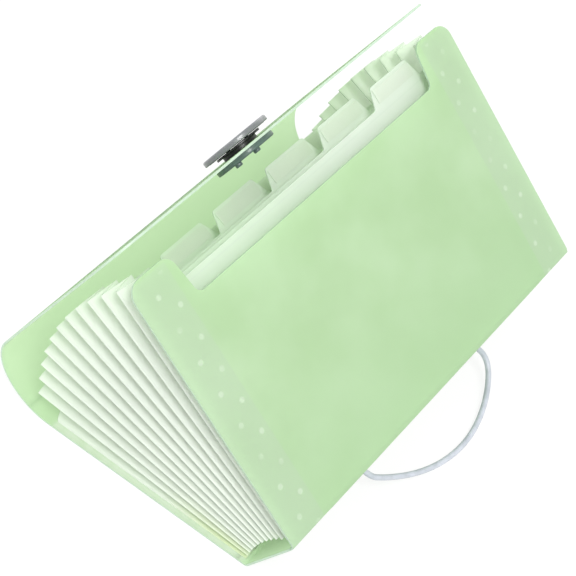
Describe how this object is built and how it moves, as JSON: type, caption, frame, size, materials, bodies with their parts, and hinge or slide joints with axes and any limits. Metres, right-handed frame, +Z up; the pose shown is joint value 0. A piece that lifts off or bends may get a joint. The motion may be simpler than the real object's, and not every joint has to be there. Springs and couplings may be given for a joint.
{
  "type": "file folder",
  "caption": "Small expanding accordion file of translucent pale green plastic, lying on its back with its pockets fanned open, its flap raised and its elastic loop hanging free",
  "frame": {"origin": "middle of the footprint, on the table under the back panel, the elastic loop not counted", "axes": "X along the spine, Y from the spine towards the pocket mouths, Z up from the table"},
  "size_m": [0.18, 0.1518, 0.1201],
  "materials": {
    "cover_sheet": "translucent pale green polypropylene sheet, soft satin",
    "divider_sheet": "translucent clear polypropylene sheet, frosted",
    "pleat_sheet": "translucent clear polypropylene sheet, frosted, pleated",
    "label_paper": "plain white paper slip",
    "button_grey": "moulded grey plastic",
    "button_black": "moulded black plastic",
    "button_slate": "moulded grey-green plastic",
    "elastic": "glossy pale elastic cord",
    "barb_metal": "plain pressed metal"
  },
  "bodies": {
    "cover_back": {"back_panel": "cover_sheet", "left_bellows": "pleat_sheet", "right_bellows": "pleat_sheet"},
    "pocket_01": {"divider_01": "divider_sheet", "index_label_01": "label_paper"},
    "pocket_02": {"divider_02": "divider_sheet", "index_label_02": "label_paper"},
    "pocket_03": {"divider_03": "divider_sheet", "index_label_03": "label_paper"},
    "pocket_04": {"divider_04": "divider_sheet", "index_label_04": "label_paper"},
    "pocket_05": {"divider_05": "divider_sheet", "index_label_05": "label_paper"},
    "pocket_06": {"divider_06": "divider_sheet", "index_label_06": "label_paper"},
    "pocket_07": {"divider_07": "divider_sheet", "index_label_07": "label_paper"},
    "pocket_08": {"divider_08": "divider_sheet", "index_label_08": "label_paper"},
    "pocket_09": {"divider_09": "divider_sheet", "index_label_09": "label_paper"},
    "pocket_10": {"divider_10": "divider_sheet", "index_label_10": "label_paper"},
    "pocket_11": {"divider_11": "divider_sheet", "index_label_11": "label_paper"},
    "pocket_12": {"divider_12": "divider_sheet", "index_label_12": "label_paper"},
    "cover_front": {"front_panel": "cover_sheet"},
    "spine": {"spine_panel": "cover_sheet", "elastic_cord": "elastic", "cord_barb_left": "barb_metal", "cord_barb_right": "barb_metal"},
    "flap_fold": {"flap_strip": "cover_sheet"},
    "flap": {"flap_panel": "cover_sheet", "button_cap": "button_grey", "button_spacer": "button_black", "button_backing": "button_slate", "button_rivet_left": "button_slate", "button_rivet_right": "button_slate"}
  },
  "joints": [
    {"name": "pocket_fan_01", "type": "hinge", "parent": "cover_back", "child": "pocket_01", "pos_m": [0, -0.04665, -0.0053], "axis": [1, 0, 0], "range_deg": [-1.9, 1.25], "deforming": ["left_bellows", "right_bellows"]},
    {"name": "pocket_fan_02", "type": "hinge", "parent": "pocket_01", "child": "pocket_02", "pos_m": [0, -0.04838, -0.00247], "axis": [1, 0, 0], "range_deg": [-3.8, 2.51]},
    {"name": "pocket_fan_03", "type": "hinge", "parent": "pocket_02", "child": "pocket_03", "pos_m": [0, -0.05069, 0.0013], "axis": [1, 0, 0], "range_deg": [-3.8, 2.51]},
    {"name": "pocket_fan_04", "type": "hinge", "parent": "pocket_03", "child": "pocket_04", "pos_m": [0, -0.053, 0.00507], "axis": [1, 0, 0], "range_deg": [-3.8, 2.51]},
    {"name": "pocket_fan_05", "type": "hinge", "parent": "pocket_04", "child": "pocket_05", "pos_m": [0, -0.05532, 0.00885], "axis": [1, 0, 0], "range_deg": [-3.8, 2.51]},
    {"name": "pocket_fan_06", "type": "hinge", "parent": "pocket_05", "child": "pocket_06", "pos_m": [0, -0.05763, 0.01262], "axis": [1, 0, 0], "range_deg": [-3.8, 2.51]},
    {"name": "pocket_fan_07", "type": "hinge", "parent": "pocket_06", "child": "pocket_07", "pos_m": [0, -0.05994, 0.01639], "axis": [1, 0, 0], "range_deg": [-3.8, 2.51]},
    {"name": "pocket_fan_08", "type": "hinge", "parent": "pocket_07", "child": "pocket_08", "pos_m": [0, -0.06225, 0.02016], "axis": [1, 0, 0], "range_deg": [-3.8, 2.51]},
    {"name": "pocket_fan_09", "type": "hinge", "parent": "pocket_08", "child": "pocket_09", "pos_m": [0, -0.06456, 0.02393], "axis": [1, 0, 0], "range_deg": [-3.8, 2.51]},
    {"name": "pocket_fan_10", "type": "hinge", "parent": "pocket_09", "child": "pocket_10", "pos_m": [0, -0.06687, 0.0277], "axis": [1, 0, 0], "range_deg": [-3.8, 2.51]},
    {"name": "pocket_fan_11", "type": "hinge", "parent": "pocket_10", "child": "pocket_11", "pos_m": [0, -0.06918, 0.03147], "axis": [1, 0, 0], "range_deg": [-3.8, 2.51]},
    {"name": "pocket_fan_12", "type": "hinge", "parent": "pocket_11", "child": "pocket_12", "pos_m": [0, -0.07149, 0.03524], "axis": [1, 0, 0], "range_deg": [-3.8, 2.51]},
    {"name": "front_cover_fan", "type": "hinge", "parent": "pocket_12", "child": "cover_front", "pos_m": [0, -0.07322, 0.03807], "axis": [1, 0, 0], "range_deg": [-1.91, 1.26]},
    {"name": "spine_crease", "type": "hinge", "parent": "cover_back", "child": "spine", "pos_m": [0, -0.05014, 0.0004], "axis": [1, 0, 0], "range_deg": [-22.77, 15.02]},
    {"name": "flap_strip_crease", "type": "hinge", "parent": "cover_back", "child": "flap_fold", "pos_m": [0, 0.0596, 0.00428], "axis": [1, 0, 0], "range_deg": [-60, 0]},
    {"name": "flap_crease", "type": "hinge", "parent": "flap_fold", "child": "flap", "pos_m": [0, 0.06502, 0.03569], "axis": [1, 0, 0], "range_deg": [-54.05, 0.05]}
  ],
  "couplings": [
    {"joint": "pocket_fan_02", "follows": "pocket_fan_01", "ratio": 2},
    {"joint": "pocket_fan_03", "follows": "pocket_fan_01", "ratio": 2},
    {"joint": "pocket_fan_04", "follows": "pocket_fan_01", "ratio": 2},
    {"joint": "pocket_fan_05", "follows": "pocket_fan_01", "ratio": 2},
    {"joint": "pocket_fan_06", "follows": "pocket_fan_01", "ratio": 2},
    {"joint": "pocket_fan_07", "follows": "pocket_fan_01", "ratio": 2},
    {"joint": "pocket_fan_08", "follows": "pocket_fan_01", "ratio": 2},
    {"joint": "pocket_fan_09", "follows": "pocket_fan_01", "ratio": 2},
    {"joint": "pocket_fan_10", "follows": "pocket_fan_01", "ratio": 2},
    {"joint": "pocket_fan_11", "follows": "pocket_fan_01", "ratio": 2},
    {"joint": "pocket_fan_12", "follows": "pocket_fan_01", "ratio": 2},
    {"joint": "front_cover_fan", "follows": "pocket_fan_01", "ratio": 1},
    {"joint": "spine_crease", "follows": "pocket_fan_01", "ratio": 12},
    {"joint": "flap_crease", "follows": "flap_strip_crease", "ratio": 0.9}
  ]
}
